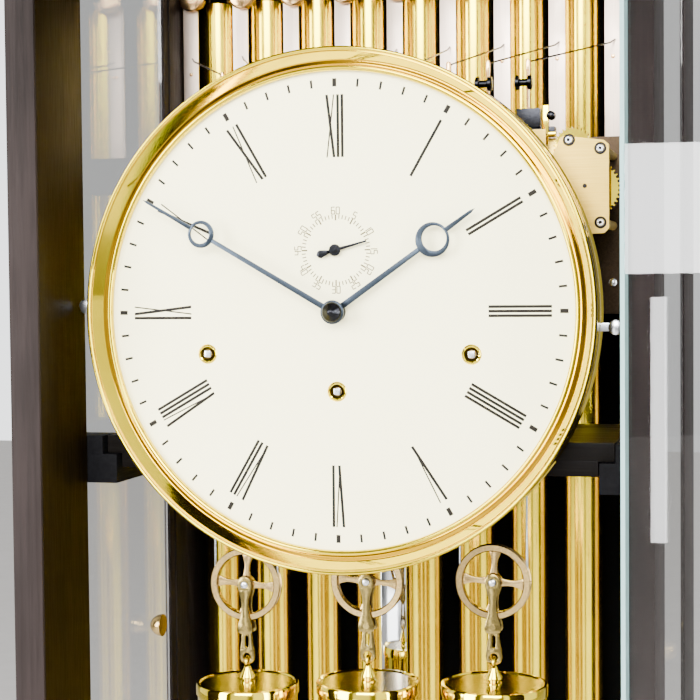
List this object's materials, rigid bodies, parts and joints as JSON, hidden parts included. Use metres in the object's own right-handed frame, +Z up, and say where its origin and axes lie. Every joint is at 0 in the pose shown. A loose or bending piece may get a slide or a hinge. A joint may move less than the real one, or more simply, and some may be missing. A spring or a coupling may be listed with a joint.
{
  "type": "longcase clock",
  "caption": "Weight-driven longcase clock with a round dial, polished bezel, cable weights on pulleys, flat-rod pendulum and tubular chime in a glazed dark wood case.",
  "frame": {"origin": "centre of the case's footprint on the floor", "axes": "+Z up, +Y from the dial towards the back of the case, +X to the right as the dial is read"},
  "size_m": [0.6967, 0.5377, 1.96],
  "materials": {
    "dark_wood": "stained open-grain wood with a satin lacquer",
    "black_lacquer": "matt black",
    "clear_glass": "clear float glass with ground edges",
    "satin_brass": "satin rose brass",
    "plate_brass": "fine brushed brass",
    "polished_brass": "mirror polished and lacquered brass",
    "dial_enamel": "matt cream paint with black print",
    "bright_steel": "bright steel",
    "mirror_steel": "mirror polished",
    "blued_steel": "slate blue steel",
    "black_steel": "black oxide",
    "brushed_aluminium": "long grain brushed"
  },
  "bodies": {
    "case": {"case_carcass": "dark_wood", "back_panel": "black_lacquer", "side_glass_left": "clear_glass", "side_glass_right": "clear_glass", "seatboard": "dark_wood", "front_plate": "plate_brass", "back_plate": "plate_brass", "chime_side_plate": "satin_brass", "dial_plate": "dial_enamel", "dial_bezel": "polished_brass", "tube_rack": "black_lacquer", "chime_tube_1": "polished_brass", "chime_tube_2": "polished_brass", "chime_tube_3": "polished_brass", "chime_tube_4": "polished_brass", "chime_tube_5": "polished_brass", "chime_tube_6": "polished_brass", "chime_tube_7": "polished_brass", "chime_tube_8": "polished_brass", "chime_tube_9": "polished_brass", "cable_left": "bright_steel", "cable_center": "bright_steel", "cable_right": "bright_steel"},
    "door": {"door_glass": "clear_glass", "door_knob": "satin_brass"},
    "minute_train": {"minute_hand": "blued_steel", "hand_nut": "black_steel", "center_wheel": "plate_brass"},
    "hour_work": {"hour_hand": "blued_steel"},
    "seconds_train": {"second_hand": "black_steel", "escape_wheel": "plate_brass"},
    "anchor": {"pallet_anchor": "bright_steel"},
    "pendulum": {"pendulum_rod": "mirror_steel", "pendulum_bob": "polished_brass"},
    "chime_drum": {"chime_pin_drum": "satin_brass"},
    "chime_drive": {"chime_drive_gear": "plate_brass"},
    "chime_idler": {"chime_idler_gear": "plate_brass"},
    "chime_selector": {"chime_selector_lever": "bright_steel"},
    "strike_silence": {"strike_silence_lever": "bright_steel"},
    "weight_left": {"weight_left": "polished_brass", "pulley_strap_left": "satin_brass"},
    "pulley_left": {"pulley_left": "satin_brass"},
    "winding_drum_left": {"winding_drum_left": "satin_brass"},
    "weight_center": {"weight_center": "polished_brass", "pulley_strap_center": "satin_brass"},
    "pulley_center": {"pulley_center": "satin_brass"},
    "winding_drum_center": {"winding_drum_center": "satin_brass"},
    "weight_right": {"weight_right": "polished_brass", "pulley_strap_right": "satin_brass"},
    "pulley_right": {"pulley_right": "satin_brass"},
    "winding_drum_right": {"winding_drum_right": "satin_brass"},
    "hammer_1": {"hammer_1": "brushed_aluminium"},
    "hammer_2": {"hammer_2": "brushed_aluminium"},
    "hammer_3": {"hammer_3": "brushed_aluminium"},
    "hammer_4": {"hammer_4": "brushed_aluminium"},
    "hammer_5": {"hammer_5": "brushed_aluminium"},
    "hammer_6": {"hammer_6": "brushed_aluminium"},
    "hammer_7": {"hammer_7": "brushed_aluminium"},
    "hammer_8": {"hammer_8": "brushed_aluminium"},
    "hammer_9": {"hammer_9": "brushed_aluminium"}
  },
  "joints": [
    {"name": "door_swing", "type": "hinge", "parent": "case", "child": "door", "pos_m": [0.181, -0.1785, 1.02], "axis": [0, 0, 1], "range_deg": [-150, 15]},
    {"name": "minute_turn", "type": "hinge", "parent": "case", "child": "minute_train", "pos_m": [0, -0.13, 1.62], "axis": [0, 1, 0], "continuous": true},
    {"name": "hour_turn", "type": "hinge", "parent": "case", "child": "hour_work", "pos_m": [0, -0.13, 1.62], "axis": [0, 1, 0], "continuous": true},
    {"name": "seconds_turn", "type": "hinge", "parent": "case", "child": "seconds_train", "pos_m": [0, -0.13, 1.6578], "axis": [0, 1, 0], "continuous": true},
    {"name": "pendulum_swing", "type": "hinge", "parent": "case", "child": "pendulum", "pos_m": [0, 0.014, 1.68], "axis": [0, 1, 0], "range_deg": [-2.5, 2.5]},
    {"name": "anchor_rock", "type": "hinge", "parent": "case", "child": "anchor", "pos_m": [0, -0.015, 1.68], "axis": [0, 1, 0], "range_deg": [-2.5, 2.5]},
    {"name": "chime_drum_turn", "type": "hinge", "parent": "case", "child": "chime_drum", "pos_m": [0, -0.045, 1.712], "axis": [1, 0, 0], "continuous": true},
    {"name": "chime_drive_turn", "type": "hinge", "parent": "case", "child": "chime_drive", "pos_m": [0.1498, -0.072, 1.6949], "axis": [0, 1, 0], "continuous": true},
    {"name": "chime_idler_turn", "type": "hinge", "parent": "case", "child": "chime_idler", "pos_m": [0.138, -0.072, 1.7214], "axis": [0, 1, 0], "continuous": true},
    {"name": "weight_left_drop", "type": "slide", "parent": "case", "child": "weight_left", "axis": [0, 0, 1], "range_m": [-0.9, 0.03], "deforming": ["cable_left"]},
    {"name": "pulley_left_turn", "type": "hinge", "parent": "weight_left", "child": "pulley_left", "pos_m": [-0.084, -0.06, 1.4366], "axis": [0, 1, 0], "range_deg": [-2305, 78]},
    {"name": "winding_drum_left_turn", "type": "hinge", "parent": "case", "child": "winding_drum_left", "pos_m": [-0.084, -0.06, 1.594], "axis": [0, 1, 0], "range_deg": [-4607, 155]},
    {"name": "weight_center_drop", "type": "slide", "parent": "case", "child": "weight_center", "axis": [0, 0, 1], "range_m": [-0.9, 0.03], "deforming": ["cable_center"]},
    {"name": "pulley_center_turn", "type": "hinge", "parent": "weight_center", "child": "pulley_center", "pos_m": [0, -0.06, 1.4417], "axis": [0, 1, 0], "range_deg": [-2305, 78]},
    {"name": "winding_drum_center_turn", "type": "hinge", "parent": "case", "child": "winding_drum_center", "pos_m": [0, -0.06, 1.571], "axis": [0, 1, 0], "range_deg": [-4607, 155]},
    {"name": "weight_right_drop", "type": "slide", "parent": "case", "child": "weight_right", "axis": [0, 0, 1], "range_m": [-0.9, 0.03], "deforming": ["cable_right"]},
    {"name": "pulley_right_turn", "type": "hinge", "parent": "weight_right", "child": "pulley_right", "pos_m": [0.084, -0.06, 1.4445], "axis": [0, 1, 0], "range_deg": [-2305, 78]},
    {"name": "winding_drum_right_turn", "type": "hinge", "parent": "case", "child": "winding_drum_right", "pos_m": [0.084, -0.06, 1.594], "axis": [0, 1, 0], "range_deg": [-4607, 155]},
    {"name": "hammer_1_strike", "type": "hinge", "parent": "case", "child": "hammer_1", "pos_m": [-0.1814, 0.109, 1.734], "axis": [1, 0, 0], "range_deg": [-2, 8], "stiffness_Nm_per_rad": 0.6},
    {"name": "hammer_2_strike", "type": "hinge", "parent": "case", "child": "hammer_2", "pos_m": [-0.1408, 0.109, 1.734], "axis": [1, 0, 0], "range_deg": [-2, 8], "stiffness_Nm_per_rad": 0.6},
    {"name": "hammer_3_strike", "type": "hinge", "parent": "case", "child": "hammer_3", "pos_m": [-0.1002, 0.109, 1.734], "axis": [1, 0, 0], "range_deg": [-2, 8], "stiffness_Nm_per_rad": 0.6},
    {"name": "hammer_4_strike", "type": "hinge", "parent": "case", "child": "hammer_4", "pos_m": [-0.0596, 0.109, 1.734], "axis": [1, 0, 0], "range_deg": [-2, 8], "stiffness_Nm_per_rad": 0.6},
    {"name": "hammer_5_strike", "type": "hinge", "parent": "case", "child": "hammer_5", "pos_m": [-0.019, 0.109, 1.734], "axis": [1, 0, 0], "range_deg": [-2, 8], "stiffness_Nm_per_rad": 0.6},
    {"name": "hammer_6_strike", "type": "hinge", "parent": "case", "child": "hammer_6", "pos_m": [0.0216, 0.109, 1.734], "axis": [1, 0, 0], "range_deg": [-2, 8], "stiffness_Nm_per_rad": 0.6},
    {"name": "hammer_7_strike", "type": "hinge", "parent": "case", "child": "hammer_7", "pos_m": [0.0622, 0.109, 1.734], "axis": [1, 0, 0], "range_deg": [-2, 8], "stiffness_Nm_per_rad": 0.6},
    {"name": "hammer_8_strike", "type": "hinge", "parent": "case", "child": "hammer_8", "pos_m": [0.1028, 0.109, 1.734], "axis": [1, 0, 0], "range_deg": [-2, 8], "stiffness_Nm_per_rad": 0.6},
    {"name": "hammer_9_strike", "type": "hinge", "parent": "case", "child": "hammer_9", "pos_m": [0.1434, 0.109, 1.734], "axis": [1, 0, 0], "range_deg": [-2, 8], "stiffness_Nm_per_rad": 0.6},
    {"name": "chime_selector_shift", "type": "hinge", "parent": "case", "child": "chime_selector", "pos_m": [0.1, -0.11925, 1.61], "axis": [0, 1, 0], "range_deg": [-5, 5]},
    {"name": "strike_silence_shift", "type": "hinge", "parent": "case", "child": "strike_silence", "pos_m": [-0.1, -0.11925, 1.624], "axis": [0, 1, 0], "range_deg": [-5, 5]}
  ],
  "couplings": [
    {"joint": "hour_turn", "follows": "minute_turn", "ratio": 0.083333},
    {"joint": "seconds_turn", "follows": "minute_turn", "ratio": 60},
    {"joint": "anchor_rock", "follows": "pendulum_swing", "ratio": 1},
    {"joint": "chime_drive_turn", "follows": "chime_drum_turn", "ratio": 1},
    {"joint": "chime_idler_turn", "follows": "chime_drum_turn", "ratio": -1.4615},
    {"joint": "pulley_left_turn", "follows": "weight_left_drop", "rad_per_m": 44.643},
    {"joint": "winding_drum_left_turn", "follows": "weight_left_drop", "rad_per_m": 89.286},
    {"joint": "pulley_center_turn", "follows": "weight_center_drop", "rad_per_m": 44.643},
    {"joint": "winding_drum_center_turn", "follows": "weight_center_drop", "rad_per_m": 89.286},
    {"joint": "pulley_right_turn", "follows": "weight_right_drop", "rad_per_m": 44.643},
    {"joint": "winding_drum_right_turn", "follows": "weight_right_drop", "rad_per_m": 89.286}
  ]
}
